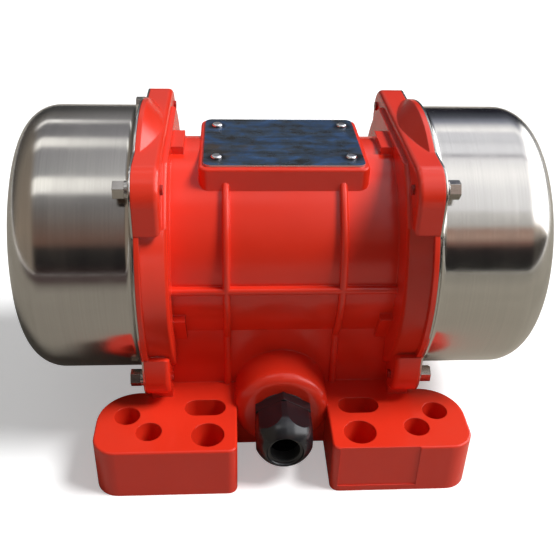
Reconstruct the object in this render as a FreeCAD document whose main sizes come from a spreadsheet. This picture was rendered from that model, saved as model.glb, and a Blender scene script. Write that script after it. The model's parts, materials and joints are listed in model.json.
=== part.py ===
import FreeCAD, Part
import math
import operator
import os
from types import SimpleNamespace

import Sketcher
from FreeCAD import Placement, Rotation, Vector

# A vibration motor: a direct-current motor in a ribbed cast housing on four drilled feet, whose
# shaft carries a fixed and an adjustable eccentric weight at each end under a drawn steel cover.
# X runs along the shaft, -Y is the cable side, Z points up, and z = 0 is the underside of the
# feet. Round pieces are drawn about the shaft, which lies axis_height above that plane. What
# stands at the left end is the right end's piece, turned half a turn about the vertical.

# Driving dimensions in millimetres
SIZES = {
    # motor barrel and its two end flanges, from the shaft outwards
    "axis_height": 82.0,
    "bore_radius": 40.0,
    "barrel_wall": 5.0,
    "flange_face": 59.0,
    "flange_thick": 12.5,
    "seat_step": 12.0,
    "seat_depth": 8.0,
    "ring_wall": 7.0,
    "rim_rise": 2.5,
    "rim_width": 2.0,
    "lug_inset": 7.5,
    "lug_radius": 12.0,
    "lug_length": 24.0,
    "lug_step": 2.0,
    "lug_edge": 2.2,
    "screw_inset": 8.5,
    "flare_width": 7.0,
    "cast_round": 1.5,
    # ribs, screw bosses and the raised pad for the plate
    "rib_offset": 24.0,
    "rib_width": 3.0,
    "rib_rise": 3.0,
    "rib_crest": 1.7,
    "boss_width": 18.0,
    "boss_rise": 2.5,
    "boss_length": 5.0,
    "pad_length": 70.0,
    "pad_width": 54.0,
    "pad_rise": 0.5,
    "pad_round": 4.0,
    "pad_edge": 1.2,
    # pedestal and feet
    "pedestal_tuck": 9.5,
    "pedestal_end_inset": 5.0,
    "foot_thick": 25.0,
    "base_length": 161.0,
    "base_width": 160.0,
    "foot_gap": 40.0,
    "foot_neck": 42.0,
    "foot_inner_round": 4.0,
    "foot_outer_round": 10.0,
    "foot_back_round": 18.0,
    "foot_edge": 1.0,
    "panel_start": 23.0,
    "panel_length": 34.0,
    "panel_lip": 3.0,
    "panel_depth": 0.5,
    # the four foot patterns
    "large_spacing_x": 65.0,
    "large_spacing_y": 140.0,
    "large_radius": 7.0,
    "far_spacing": 135.0,
    "near_spacing": 115.0,
    "bolt_radius": 5.5,
    "slot_spacing_x": 68.0,
    "slot_spacing_y": 106.0,
    "slot_width": 10.0,
    "slot_length": 18.0,
    # cable boss and gland
    "boss_front": 54.5,
    "gland_height": 22.0,
    "boss_radius": 21.0,
    "boss_round": 5.0,
    "duct_radius": 6.0,
    "gland_thread": 10.0,
    "gland_thread_length": 10.0,
    "gland_washer_thick": 1.2,
    "gland_flats": 24.0,
    "gland_hex_length": 5.0,
    "gland_nose": 8.6,
    "gland_nut_length": 17.6,
    "gland_nut_radius": 13.2,
    "gland_dome": 12.0,
    "gland_lip": 1.5,
    "gland_opening": 6.35,
    # end covers
    "cover_wall": 0.9,
    "cover_inset": 3.0,
    "cover_end": 111.0,
    "cover_corner": 15.0,
    "cover_flare": 1.2,
    "seal_width": 1.4,
    # fasteners
    "screw_radius": 2.0,
    "screw_flats": 6.6,
    "screw_head": 4.4,
    "flat_washer": 0.8,
    "spring_washer": 1.0,
    "washer_rim": 1.9,
    "socket_head": 3.5,
    "play": 0.05,
    # nameplate
    "plate_margin": 2.0,
    "plate_thick": 0.9,
    "plate_round": 3.0,
    "rivet_spacing_x": 55.6,
    "rivet_spacing_y": 34.6,
    "rivet_radius": 1.3,
    "rivet_head": 2.3,
    # bearings and bearing flanges
    "bearing_bore": 8.5,
    "bearing_outer": 23.5,
    "bearing_width": 14.0,
    "ring_thick": 3.7,
    "shield_thick": 0.6,
    "hub_wall": 4.5,
    "hub_lip": 2.0,
    "hub_shoulder": 3.5,
    # magnets and brushes
    "yoke_wall": 3.5,
    "magnet_thick": 5.2,
    "magnet_half_angle": 68.0,
    "magnet_start": -28.0,
    "magnet_length": 48.0,
    "holder_thick": 3.0,
    "holder_wall": 2.0,
    "brush_width": 8.0,
    "brush_length": 13.0,
    "brush_box_length": 14.0,
    "brush_spring": 2.8,
    # rotor
    "shaft_radius": 11.0,
    "shaft_end": 98.0,
    "air_gap": 0.7,
    "core_start": -26.0,
    "core_length": 40.0,
    "slot_count": 12,
    "coil_slot_width": 5.2,
    "coil_slot_depth": 9.0,
    "tooth_tip": 3.6,
    "coil_overhang": 9.0,
    "commutator_radius": 16.0,
    "commutator_length": 15.0,
    # eccentric weights
    "weight_bore": 8.0,
    "spacer_length": 4.0,
    "spacer_wall": 4.0,
    "weight_radius": 43.0,
    "weight_thick": 12.0,
    "weight_hub": 16.0,
    "weight_gap": 0.5,
    "key_width": 5.0,
    "clamp_split": 2.0,
    "clamp_height": 23.0,
    "clamp_half_width": 13.0,
    "clamp_bolt": 3.0,
    "clamp_head": 5.0,
    "circlip_thick": 1.1,
    "circlip_depth": 0.7,
    "circlip_rim": 2.2,
}

SIGNS = {"+": operator.add, "-": operator.sub, "*": operator.mul, "/": operator.truediv}


class Dim:
    """A size with the sheet formula that gives it, so that sums of sizes stay tied to the sheet."""

    def __init__(self, value, formula=None):
        self.value = float(value)
        self.formula = formula or "(%r)" % self.value

    def __add__(self, other):
        return combine(self, "+", other)

    def __radd__(self, other):
        return combine(other, "+", self)

    def __sub__(self, other):
        return combine(self, "-", other)

    def __rsub__(self, other):
        return combine(other, "-", self)

    def __mul__(self, other):
        return combine(self, "*", other)

    def __rmul__(self, other):
        return combine(other, "*", self)

    def __truediv__(self, other):
        return combine(self, "/", other)

    def __neg__(self):
        return combine(0, "-", self)


def as_dim(amount):
    return amount if isinstance(amount, Dim) else Dim(amount)


def combine(first, sign, second):
    first, second = as_dim(first), as_dim(second)
    value = SIGNS[sign](first.value, second.value)
    return Dim(value, "(%s %s %s)" % (first.formula, sign, second.formula))


def root(amount):
    return Dim(math.sqrt(amount.value), "sqrt(%s)" % amount.formula)


def sine(angle):
    return Dim(math.sin(math.radians(angle.value)), "sin(%s)" % angle.formula)


def cosine(angle):
    return Dim(math.cos(math.radians(angle.value)), "cos(%s)" % angle.formula)


doc = FreeCAD.newDocument("vibration_motor")
sheet = doc.addObject("Spreadsheet::Sheet", "Sizes")
for row, (name, number) in enumerate(SIZES.items(), start=1):
    sheet.set("A%d" % row, name)
    sheet.set("B%d" % row, str(number))
    sheet.setAlias("B%d" % row, name)
doc.recompute()
dim = SimpleNamespace(**{name: Dim(sheet.get(name), "Sizes." + name) for name in SIZES})

# Sizes that follow from the driving ones
HALF = 0.5
HEX_CORNER = Dim(2 / math.sqrt(3))
floor = -dim.axis_height
flange_back = dim.flange_face - dim.flange_thick
barrel_radius = dim.bore_radius + dim.barrel_wall
rib_radius = barrel_radius + dim.rib_rise
seat_radius = dim.bore_radius + dim.seat_step
seat_face = dim.flange_face - dim.seat_depth
ring_radius = seat_radius + dim.ring_wall
rim_radius = ring_radius + dim.rim_rise
lug_reach = rim_radius - dim.lug_inset
lug_centre = lug_reach - dim.lug_radius
lug_back = flange_back + dim.lug_step
screw_centre = lug_reach - dim.screw_inset
pedestal_half = barrel_radius - dim.pedestal_tuck
pedestal_end = dim.flange_face - dim.pedestal_end_inset
pad_top = barrel_radius + dim.pad_rise
flange_screw_circle = dim.bore_radius + dim.barrel_wall * 0.75
cover_radius = rim_radius - dim.cover_inset
cover_inside = cover_radius - dim.cover_wall
cover_flange = dim.flange_face + dim.cover_wall
bearing_start = flange_back + HALF
bearing_end = bearing_start + dim.bearing_width
hub_start = bearing_start - dim.hub_lip
weight_start = bearing_end + dim.spacer_length
adjustable_start = weight_start + dim.weight_thick + dim.weight_gap
weights_end = adjustable_start + dim.weight_thick
yoke_inside = dim.bore_radius - dim.play - dim.yoke_wall
core_radius = yoke_inside - dim.magnet_thick - dim.air_gap
core_end = dim.core_start + dim.core_length
commutator_start = core_end + dim.coil_overhang
commutator_end = commutator_start + dim.commutator_length
holder_start = hub_start - dim.holder_thick


# ------------------------------------------------------------------ drawing helpers
def bind(thing, path, amount):
    thing.setExpression(path, as_dim(amount).formula)


def new_body(label, turn=0.0, base=None):
    """A body whose X axis is the shaft, or one placed at base; turn is in degrees about Z."""
    body = doc.addObject("PartDesign::Body", label)
    body.Label = label
    body.AllowCompound = True
    base = base or (Dim(0), Dim(0), dim.axis_height)
    body.Placement = Placement(Vector(*(c.value for c in base)), Rotation(Vector(0, 0, 1), turn))
    for letter, amount in zip("xyz", base):
        bind(body, "Placement.Base." + letter, amount)
    return body


def origin_feature(body, role):
    return next(item for item in body.Origin.OriginFeatures if item.Role == role)


def new_sketch(body, plane, offset):
    """Empty sketch on XY, XZ or YZ; offset runs along +Z, -Y or +X."""
    sketch = body.newObject("Sketcher::SketchObject", "Sketch")
    sketch.AttachmentSupport = [(origin_feature(body, plane + "_Plane"), "")]
    sketch.MapMode = "FlatFace"
    bind(sketch, "AttachmentOffset.Base.z", offset)
    return sketch


def hold_point(sketch, rules, element, end, x, y):
    """Hold one end of an element at (x, y); a zero puts it on the axis."""
    for kind, axis, amount in (("DistanceX", -2, as_dim(x)), ("DistanceY", -1, as_dim(y))):
        if amount.formula == Dim(0).formula:
            rules.append((Sketcher.Constraint("PointOnObject", element, end, axis), None))
        else:
            rules.append((Sketcher.Constraint(kind, element, end, amount.value), amount))


def apply_rules(sketch, rules):
    first = sketch.ConstraintCount
    sketch.addConstraint([rule for rule, _ in rules])
    for number, (_, amount) in enumerate(rules, start=first):
        if amount is not None:
            bind(sketch, "Constraints[%d]" % number, amount)


def arc_between(start, end, radius, turn):
    """The short arc from start to end; turn is 1 when it bends left and -1 when it bends right."""
    middle, chord = (start + end) * HALF, end - start
    reach = math.sqrt(max(radius * radius - chord.Length ** 2 / 4, 0.0))
    side = Vector(-chord.y, chord.x, 0).normalize() * turn
    centre = middle + side * reach
    first, last = (start, end) if turn > 0 else (end, start)
    angles = [math.atan2(p.y - centre.y, p.x - centre.x) for p in (first, last)]
    return Part.ArcOfCircle(Part.Circle(centre, Vector(0, 0, 1), radius), *angles)


def draw_outline(sketch, stops):
    """Closed outline. A stop is (x, y), or (x, y, radius, turn) where an arc arrives at it."""
    first = sketch.GeometryCount
    count = len(stops)
    rules, ends = [], []
    for number, stop in enumerate(stops):
        after = stops[(number + 1) % count]
        here = Vector(as_dim(stop[0]).value, as_dim(stop[1]).value, 0)
        there = Vector(as_dim(after[0]).value, as_dim(after[1]).value, 0)
        if len(after) == 2:
            sketch.addGeometry(Part.LineSegment(here, there), False)
            ends.append((1, 2))
        else:
            sketch.addGeometry(arc_between(here, there, as_dim(after[2]).value, after[3]), False)
            ends.append((1, 2) if after[3] > 0 else (2, 1))
            radius = Sketcher.Constraint("Radius", first + number, as_dim(after[2]).value)
            rules.append((radius, as_dim(after[2])))
    for number, stop in enumerate(stops):
        before = (number - 1) % count
        meet = Sketcher.Constraint("Coincident", first + before, ends[before][1],
                                   first + number, ends[number][0])
        rules.append((meet, None))
        hold_point(sketch, rules, first + number, ends[number][0], stop[0], stop[1])
    apply_rules(sketch, rules)


def draw_circle(sketch, x, y, radius):
    element = sketch.GeometryCount
    centre = Vector(as_dim(x).value, as_dim(y).value, 0)
    sketch.addGeometry(Part.Circle(centre, Vector(0, 0, 1), as_dim(radius).value), False)
    rules = [(Sketcher.Constraint("Radius", element, as_dim(radius).value), as_dim(radius))]
    hold_point(sketch, rules, element, 3, x, y)
    apply_rules(sketch, rules)


def outline_sketch(body, plane, offset, *outlines):
    sketch = new_sketch(body, plane, offset)
    for stops in outlines:
        draw_outline(sketch, stops)
    return sketch


def circle_sketch(body, plane, offset, *circles):
    sketch = new_sketch(body, plane, offset)
    for circle in circles:
        draw_circle(sketch, *circle)
    return sketch


def rectangle(left, right, low, high):
    return [(left, low), (right, low), (right, high), (left, high)]


def rounded_rectangle(half_x, half_y, radius):
    inner_x, inner_y = half_x - radius, half_y - radius
    return [(-inner_x, -half_y, radius, 1), (inner_x, -half_y), (half_x, -inner_y, radius, 1),
            (half_x, inner_y), (inner_x, half_y, radius, 1), (-inner_x, half_y),
            (-half_x, inner_y, radius, 1), (-half_x, -inner_y)]


def feature(body, kind, profile, name):
    made = body.newObject("PartDesign::" + kind, name)
    made.Profile = profile
    return made


def pad(body, profile, length, name="Pad"):
    """Solid from the sketch along its normal."""
    made = feature(body, "Pad", profile, name)
    bind(made, "Length", length)
    return made


def pocket(body, profile, depth, along=False, name="Pocket"):
    """Cut from the sketch against its normal, or along it."""
    made = feature(body, "Pocket", profile, name)
    made.Refine = False
    made.Reversed = along
    bind(made, "Length", depth)
    return made


def revolve(body, profile, kind="Revolution", name="Turned"):
    """Full turn of an XZ sketch about the body's X axis."""
    made = feature(body, kind, profile, name)
    made.ReferenceAxis = (profile, ["H_Axis"])
    made.Angle = 360
    return made


def pattern(body, count, name="Around"):
    """Repeat the whole body so far about the shaft."""
    doc.recompute()
    made = body.newObject("PartDesign::PolarPattern", name)
    made.TransformMode = "Whole shape"
    made.Axis = (origin_feature(body, "X_Axis"), [""])
    made.Angle = 360
    bind(made, "Occurrences", count)
    body.Tip = made
    return made


def repeat(body, originals, count, name="Around"):
    made = body.newObject("PartDesign::PolarPattern", name)
    made.Originals = originals
    made.Axis = (origin_feature(body, "X_Axis"), [""])
    made.Angle = 360
    bind(made, "Occurrences", count)
    body.Tip = made
    return made


def mirror(body, plane, name="Mirror"):
    """Add the mirror image of the whole body so far."""
    doc.recompute()
    made = body.newObject("PartDesign::Mirrored", name)
    made.TransformMode = "Whole shape"
    made.MirrorPlane = (origin_feature(body, plane + "_Plane"), [""])
    body.Tip = made
    return made


def soften(body, base, radius, chosen, kind="Fillet"):
    """Round or chamfer the edges of base that chosen() picks."""
    doc.recompute()
    names = ["Edge%d" % number for number, edge in enumerate(base.Shape.Edges, start=1) if chosen(edge)]
    made = body.newObject("PartDesign::" + kind, kind)
    made.Base = (base, names)
    bind(made, "Radius" if kind == "Fillet" else "Size", radius)
    return made


def lies_at(edge, letter, amount):
    """True when the whole edge has this coordinate."""
    low = getattr(edge.BoundBox, letter.upper() + "Min")
    high = getattr(edge.BoundBox, letter.upper() + "Max")
    return abs(low - amount.value) < 0.01 and abs(high - amount.value) < 0.01


# ------------------------------------------------------------------ housing
def foot_outline():
    """Front right foot in plan: square inside, rounded outside, drawn in behind."""
    inner, end, side = dim.foot_gap / 2, dim.base_length / 2, dim.base_width / 2
    small, large, back = dim.foot_inner_round, dim.foot_outer_round, dim.foot_back_round
    buried = pedestal_half - dim.rib_width
    return [(inner, -buried), (inner, small - side), (inner + small, -side, small, 1),
            (end - large, -side), (end, large - side, large, 1), (end, -(dim.foot_neck + back)),
            (end - back, -dim.foot_neck, back, 1), (pedestal_end, -dim.foot_neck),
            (pedestal_end, -buried)]


def add_feet(body):
    block = pad(body, outline_sketch(body, "XY", floor, foot_outline()), dim.foot_thick, "Foot")
    top = floor + dim.foot_thick
    hidden = dim.foot_neck - HALF
    rounded = soften(body, block, dim.foot_edge,
                     lambda edge: lies_at(edge, "z", top) and
                     (edge.BoundBox.YMin < -hidden.value) and not lies_at(edge, "x", pedestal_end))
    mirror(body, "XZ", "BackFoot")
    return rounded


def lug_bands():
    """Outlines of the upper and the lower pair of lugs, joined across the flange."""
    reach, low, middle = lug_reach, lug_reach - dim.lug_length, lug_centre
    radius = dim.lug_radius
    upper = [(-reach, low), (reach, low), (reach, middle), (middle, reach, radius, 1),
             (-middle, reach), (-reach, middle, radius, 1)]
    lower = [(reach, -low), (-reach, -low), (-reach, -middle), (-middle, -reach, radius, 1),
             (middle, -reach), (reach, -middle, radius, 1)]
    return upper, lower


def add_lugs(body):
    """Upper and lower band with a lug at each corner, rounded behind."""
    lugs = pad(body, outline_sketch(body, "YZ", lug_back, *lug_bands()),
               dim.flange_thick - dim.lug_step, "Lugs")
    soften(body, lugs, dim.lug_edge, lambda edge: lies_at(edge, "x", lug_back))


def add_flange(body):
    """Ring behind the cover, level with the lugs on top, with a thin rim at its face."""
    flare_end = dim.flange_face - dim.rim_width
    corner = dim.cast_round
    ring = [(flange_back, dim.bore_radius), (flare_end, dim.bore_radius), (flare_end, ring_radius),
            (flange_back + corner, ring_radius), (flange_back, ring_radius - corner, corner, 1)]
    revolve(body, outline_sketch(body, "XZ", 0, ring), name="Ring")
    edge, over = dim.lug_edge, ring_radius + 1
    step = lug_reach - dim.lug_step * 2
    above = [(flange_back - 1, step), (lug_back, step), (lug_back, lug_reach - edge),
             (lug_back + edge, lug_reach, edge, -1), (flare_end, lug_reach), (flare_end, over),
             (flange_back - 1, over)]
    half = lug_centre - corner
    pocket(body, outline_sketch(body, "XZ", -half, above), half * 2, along=True, name="FlatTop")
    pad(body, circle_sketch(body, "YZ", flare_end, (0, 0, rim_radius)), dim.rim_width, "Rim")
    flare_start = flare_end - dim.flare_width
    inner = lug_reach - dim.rim_rise
    scoop = outline_sketch(body, "XZ", 0, [(flare_start, inner), (flare_end, inner),
                                           (flare_end, rim_radius), (flare_start, lug_reach)])
    flare = feature(body, "Revolution", scoop, "Flare")
    flare.ReferenceAxis = (scoop, ["H_Axis"])
    flare.Midplane = True
    flare.Angle = 60
    top = floor + dim.foot_thick - corner
    web = outline_sketch(body, "YZ", lug_back,
                         rectangle(-screw_centre, corner - dim.foot_neck, top, -screw_centre),
                         rectangle(dim.foot_neck - corner, screw_centre, top, -screw_centre))
    pad(body, web, dim.flange_thick - dim.lug_step - corner, "Web")


def crest_drop():
    """How far a rib's shoulders lie below its rounded crest."""
    crest, half = dim.rib_crest, dim.rib_width / 2
    return crest - root(crest * crest - half * half)


def add_ring_rib(body):
    """Rib round the barrel that runs down into a leg on each side of the pedestal."""
    start = dim.rib_offset - dim.rib_width / 2
    end, shoulder = start + dim.rib_width, rib_radius - crest_drop()
    ring = [(start, dim.bore_radius), (end, dim.bore_radius), (end, shoulder),
            (start, shoulder, dim.rib_crest, 1)]
    revolve(body, outline_sketch(body, "XZ", 0, ring), name="RingRib")
    half = pedestal_half + dim.rib_rise * 2 / 3 - crest_drop()
    leg = [(start, -half), (end, -half, dim.rib_crest, 1), (end, half),
           (start, half, dim.rib_crest, 1)]
    pad(body, outline_sketch(body, "XY", floor, leg), dim.axis_height - barrel_radius / 2, "RibLeg")


def add_screw_bosses(body):
    """Three bosses on the barrel that take the bearing flange screws."""
    half = dim.boss_width / 2
    top = barrel_radius + dim.boss_rise
    block = outline_sketch(body, "YZ", flange_back - dim.boss_length,
                           rectangle(-half, half, dim.bore_radius, top))
    boss = pad(body, block, dim.boss_length + 1, "ScrewBoss")
    repeat(body, [boss], 3, "ScrewBosses")


def add_barrel(body):
    reach = flange_back + 1
    pad(body, circle_sketch(body, "YZ", -reach, (0, 0, barrel_radius)), reach * 2, "Barrel")
    half, far = dim.rib_width / 2, rib_radius - crest_drop()
    side = [(-far, half), (-far, -half, dim.rib_crest, 1), (far, -half),
            (far, half, dim.rib_crest, 1)]
    pad(body, outline_sketch(body, "YZ", -reach, side), reach * 2, "SideRibs")
    base = outline_sketch(body, "XY", floor, rectangle(-pedestal_end, pedestal_end,
                                                       -pedestal_half, pedestal_half))
    pad(body, base, dim.axis_height - barrel_radius / 2, "Pedestal")


def add_plate_pad(body):
    outline = rounded_rectangle(dim.pad_length / 2, dim.pad_width / 2, dim.pad_round)
    pad(body, outline_sketch(body, "XY", 0, outline), pad_top, "PlatePad")
    above = outline_sketch(body, "XY", rib_radius + 1, outline)
    level = pocket(body, above, rib_radius + 1 - pad_top, name="PadTop")
    across, along = dim.pad_width / 2 - dim.pad_round, dim.pad_length / 2 - dim.pad_round
    soften(body, level, dim.pad_edge, lambda edge: lies_at(edge, "z", pad_top) and (
        abs(edge.CenterOfMass.x) > along.value or abs(edge.CenterOfMass.y) > across.value))


def add_cable_boss(body):
    """Round boss with a rounded nose, on a block that reaches down to the base."""
    radius, corner, front = dim.boss_radius, dim.boss_round, dim.boss_front
    middle, start = floor + dim.gland_height, pedestal_half - dim.rib_width
    block = outline_sketch(body, "XZ", start, rectangle(-radius, radius, floor, middle))
    pad(body, block, front - corner - start, "BossBlock")
    nose = outline_sketch(body, "YZ", 0, [(-front, 0), (-start, 0), (-start, radius),
                                          (corner - front, radius),
                                          (-front, radius - corner, corner, 1)])
    bind(nose, "AttachmentOffset.Base.y", middle)
    revolve(body, nose, name="CableBoss")


def cut_inside(body):
    """Bore with a seat for the bearing flange at each end."""
    face, seat, bore = dim.flange_face, seat_radius, dim.bore_radius
    over = face + 1
    profile = [(-over, 0), (over, 0), (over, seat), (seat_face, seat), (seat_face, bore),
               (-seat_face, bore), (-seat_face, seat), (-over, seat)]
    revolve(body, outline_sketch(body, "XZ", 0, profile), "Groove", "Bore")


def cut_duct(body):
    """Threaded mouth for the gland, and the way up from it into the bore."""
    middle = floor + dim.gland_height
    mouth = circle_sketch(body, "XZ", dim.boss_front, (0, middle, dim.gland_thread + dim.play))
    pocket(body, mouth, dim.gland_thread_length + 2, name="GlandMouth")
    run = circle_sketch(body, "XZ", dim.boss_front, (0, middle, dim.duct_radius))
    pocket(body, run, dim.boss_front, name="Duct")
    rise = circle_sketch(body, "XY", -dim.bore_radius + 4, (0, -dim.duct_radius, dim.duct_radius))
    pocket(body, rise, dim.axis_height - dim.bore_radius - dim.gland_height + 4, name="DuctRise")


def at_corners(spacing_x, spacing_y, radius):
    return [(spacing_x * x / 2, spacing_y * y / 2, radius) for x in (-1, 1) for y in (-1, 1)]


def obround(x, y):
    """A slot of the feet, about (x, y)."""
    end, run = dim.slot_width / 2, (dim.slot_length - dim.slot_width) / 2
    return [(x - run, y - end), (x + run, y - end), (x + run + end, y, end, 1),
            (x + run, y + end, end, 1), (x - run, y + end), (x - run - end, y, end, 1),
            (x - run, y - end, end, 1)][1:]


def cut_feet(body):
    top = floor + dim.foot_thick
    circles = at_corners(dim.large_spacing_x, dim.large_spacing_y, dim.large_radius)
    circles += at_corners(dim.far_spacing, dim.near_spacing, dim.bolt_radius)
    circles += at_corners(dim.near_spacing, dim.far_spacing, dim.bolt_radius)
    holes = circle_sketch(body, "XY", top, *circles)
    pocket(body, holes, dim.foot_thick + 1, name="FootHoles")
    slots = [obround(dim.slot_spacing_x * x / 2, dim.slot_spacing_y * y / 2)
             for x in (-1, 1) for y in (-1, 1)]
    pocket(body, outline_sketch(body, "XY", top, *slots), dim.foot_thick + 1, name="FootSlots")


def cut_foot_panel(body):
    """Shallow flat sunk in the front of the right front foot."""
    panel = rectangle(dim.panel_start, dim.panel_start + dim.panel_length, floor + dim.panel_lip,
                      floor + dim.foot_thick + 1)
    sketch = outline_sketch(body, "XZ", dim.base_width / 2, panel)
    pocket(body, sketch, dim.panel_depth, name="FootPanel")


def screw_corners(radius):
    """Circles at the four lugs."""
    return at_corners(screw_centre * 2, screw_centre * 2, radius)


def flange_screws(radius):
    """Circles at the three bearing flange screws, the first one on top."""
    across = flange_screw_circle * math.sqrt(3) / 2
    return [(0, flange_screw_circle, radius), (across, -flange_screw_circle / 2, radius),
            (-across, -flange_screw_circle / 2, radius)]


def cut_small_holes(body):
    """Cover screw holes, bearing flange screw holes, seal grooves and rivet holes."""
    radius = dim.screw_radius + dim.play
    depth = seat_face - flange_back + dim.boss_length - 1
    for side in (-1, 1):
        lugs = circle_sketch(body, "YZ", dim.flange_face * side, *screw_corners(radius))
        pocket(body, lugs, dim.flange_thick + 1, along=side < 0, name="LugHoles")
        holes = circle_sketch(body, "YZ", seat_face * side, *flange_screws(radius))
        pocket(body, holes, depth, along=side < 0, name="FlangeHoles")
        inner = cover_inside + dim.play * 4
        groove = circle_sketch(body, "YZ", dim.flange_face * side, (0, 0, inner),
                               (0, 0, inner + dim.seal_width + dim.play * 2))
        pocket(body, groove, dim.seal_width, along=side < 0, name="SealGroove")
    rivets = circle_sketch(body, "XY", pad_top, *at_corners(dim.rivet_spacing_x,
                                                            dim.rivet_spacing_y,
                                                            dim.rivet_radius + dim.play))
    pocket(body, rivets, dim.rib_width * 2, name="RivetHoles")


def housing():
    body = new_body("housing")
    add_lugs(body)
    add_feet(body)
    add_flange(body)
    add_ring_rib(body)
    add_screw_bosses(body)
    mirror(body, "YZ", "LeftHalf")
    add_barrel(body)
    add_plate_pad(body)
    add_cable_boss(body)
    cut_inside(body)
    cut_duct(body)
    cut_feet(body)
    cut_foot_panel(body)
    cut_small_holes(body)


# ------------------------------------------------------------------ covers and their screws
def cover(side, turn):
    """Drawn cup with a lugged flange that repeats the outline of the housing's flange."""
    body = new_body(side + "_cover", turn)
    wall, flare, corner = dim.cover_wall, dim.cover_flare, dim.cover_corner
    face, end, outer, inner = dim.flange_face, dim.cover_end, cover_radius, cover_inside
    pad(body, outline_sketch(body, "YZ", face, *lug_bands()), wall, "Lugs")
    pocket(body, circle_sketch(body, "YZ", cover_flange, (0, 0, inner)), wall + 1, name="Mouth")
    cup = [(face, inner), (face, rim_radius), (cover_flange, rim_radius),
           (cover_flange, outer + flare), (cover_flange + flare, outer, flare, 1),
           (end - corner, outer), (end, outer - corner, corner, -1), (end, 0), (end - wall, 0),
           (end - wall, outer - corner), (end - corner, inner, corner - wall, 1)]
    revolve(body, outline_sketch(body, "XZ", 0, cup), name="Cup")
    holes = circle_sketch(body, "YZ", cover_flange, *screw_corners(dim.screw_radius + dim.play * 4))
    pocket(body, holes, wall + 1, name="ScrewHoles")


def hexagon(x, y, flats):
    """Hexagon about (x, y) with two corners up and down."""
    corner = flats / 2 * HEX_CORNER
    return [(x + corner * math.sin(math.radians(60 * n)), y + corner * math.cos(math.radians(60 * n)))
            for n in range(6)]


def cover_screws(side, turn):
    body = new_body(side + "_cover_screws", turn)
    head_start = cover_flange + dim.flat_washer + dim.spring_washer
    tip = flange_back + 1
    pad(body, circle_sketch(body, "YZ", tip, (screw_centre, screw_centre, dim.screw_radius)),
        head_start - tip, "Shank")
    head = hexagon(screw_centre, screw_centre, dim.screw_flats)
    pad(body, outline_sketch(body, "YZ", head_start, head), dim.screw_head, "Head")
    pattern(body, 4)


def cover_washers(side, turn):
    """A flat washer on the cover and a split spring washer under each screw head."""
    hole = dim.screw_radius + dim.play * 2
    rim = dim.screw_radius + dim.washer_rim
    flat = new_body(side + "_flat_washers", turn)
    pad(flat, circle_sketch(flat, "YZ", cover_flange, (screw_centre, screw_centre, rim),
                            (screw_centre, screw_centre, hole)), dim.flat_washer)
    pattern(flat, 4)
    spring = new_body(side + "_spring_washers", turn)
    start = cover_flange + dim.flat_washer
    pad(spring, circle_sketch(spring, "YZ", start, (screw_centre, screw_centre, rim - dim.play * 6),
                              (screw_centre, screw_centre, hole)), dim.spring_washer)
    half = dim.spring_washer / 4
    gap = rectangle(screw_centre - half, screw_centre + half, screw_centre, screw_centre + rim)
    pocket(spring, outline_sketch(spring, "YZ", start + dim.spring_washer, gap),
           dim.spring_washer, name="Split")
    pattern(spring, 4)


def cover_seal(side, turn):
    body = new_body(side + "_cover_seal", turn)
    inner = cover_inside + dim.play * 5
    ring = circle_sketch(body, "YZ", dim.flange_face - dim.seal_width, (0, 0, inner),
                         (0, 0, inner + dim.seal_width))
    pad(body, ring, dim.seal_width)


# ------------------------------------------------------------------ nameplate and gland
def nameplate():
    body = new_body("nameplate")
    outline = rounded_rectangle(dim.pad_length / 2 - dim.plate_margin,
                                dim.pad_width / 2 - dim.plate_margin, dim.plate_round)
    sketch = outline_sketch(body, "XY", pad_top, outline)
    for circle in at_corners(dim.rivet_spacing_x, dim.rivet_spacing_y, dim.rivet_radius + dim.play):
        draw_circle(sketch, *circle)
    pad(body, sketch, dim.plate_thick)


def nameplate_rivets():
    """Four drive rivets with domed heads."""
    body = new_body("nameplate_rivets")
    top = pad_top + dim.plate_thick
    shank = circle_sketch(body, "XY", top - dim.rib_width, *at_corners(
        dim.rivet_spacing_x, dim.rivet_spacing_y, dim.rivet_radius))
    pad(body, shank, dim.rib_width, "Shank")
    height = dim.rivet_head / 2
    head = pad(body, circle_sketch(body, "XY", top, *at_corners(
        dim.rivet_spacing_x, dim.rivet_spacing_y, dim.rivet_head)), height, "Head")
    soften(body, head, height * 0.8, lambda edge: lies_at(edge, "z", top + height))


def gland_piece(label):
    """A body whose X axis runs out of the cable boss, with its start on the boss face."""
    return new_body(label, -90, (Dim(0), -dim.boss_front, dim.gland_height))


def gland_washer():
    body = gland_piece("gland_washer")
    ring = circle_sketch(body, "YZ", 0, (0, 0, dim.gland_flats / 2 - dim.play * 4),
                         (0, 0, dim.gland_thread + dim.play))
    pad(body, ring, dim.gland_washer_thick)


def gland_body():
    """Hexagon with a threaded spigot in the boss and a slimmer threaded nose for the nut."""
    body = gland_piece("gland_body")
    start, length = dim.gland_washer_thick, dim.gland_hex_length
    nose_end = start + length + dim.gland_nut_length * 0.6
    turned = [(-dim.gland_thread_length, dim.gland_opening), (nose_end, dim.gland_opening),
              (nose_end, dim.gland_nose), (start, dim.gland_nose), (start, dim.gland_thread),
              (-dim.gland_thread_length, dim.gland_thread)]
    revolve(body, outline_sketch(body, "XZ", 0, turned))
    hexagon_sketch = outline_sketch(body, "YZ", start, hexagon(0, 0, dim.gland_flats))
    draw_circle(hexagon_sketch, 0, 0, dim.gland_opening + 1)
    pad(body, hexagon_sketch, length, "Hexagon")


def gland_seal():
    """Rubber ring that the nut squeezes onto the cable."""
    body = gland_piece("gland_seal")
    start = dim.gland_washer_thick + dim.gland_hex_length + dim.gland_nut_length * 0.6
    end = dim.gland_washer_thick + dim.gland_hex_length + dim.gland_nut_length * 0.9
    pad(body, circle_sketch(body, "YZ", start, (0, 0, dim.gland_nose),
                            (0, 0, dim.gland_opening)), end - start)


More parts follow.
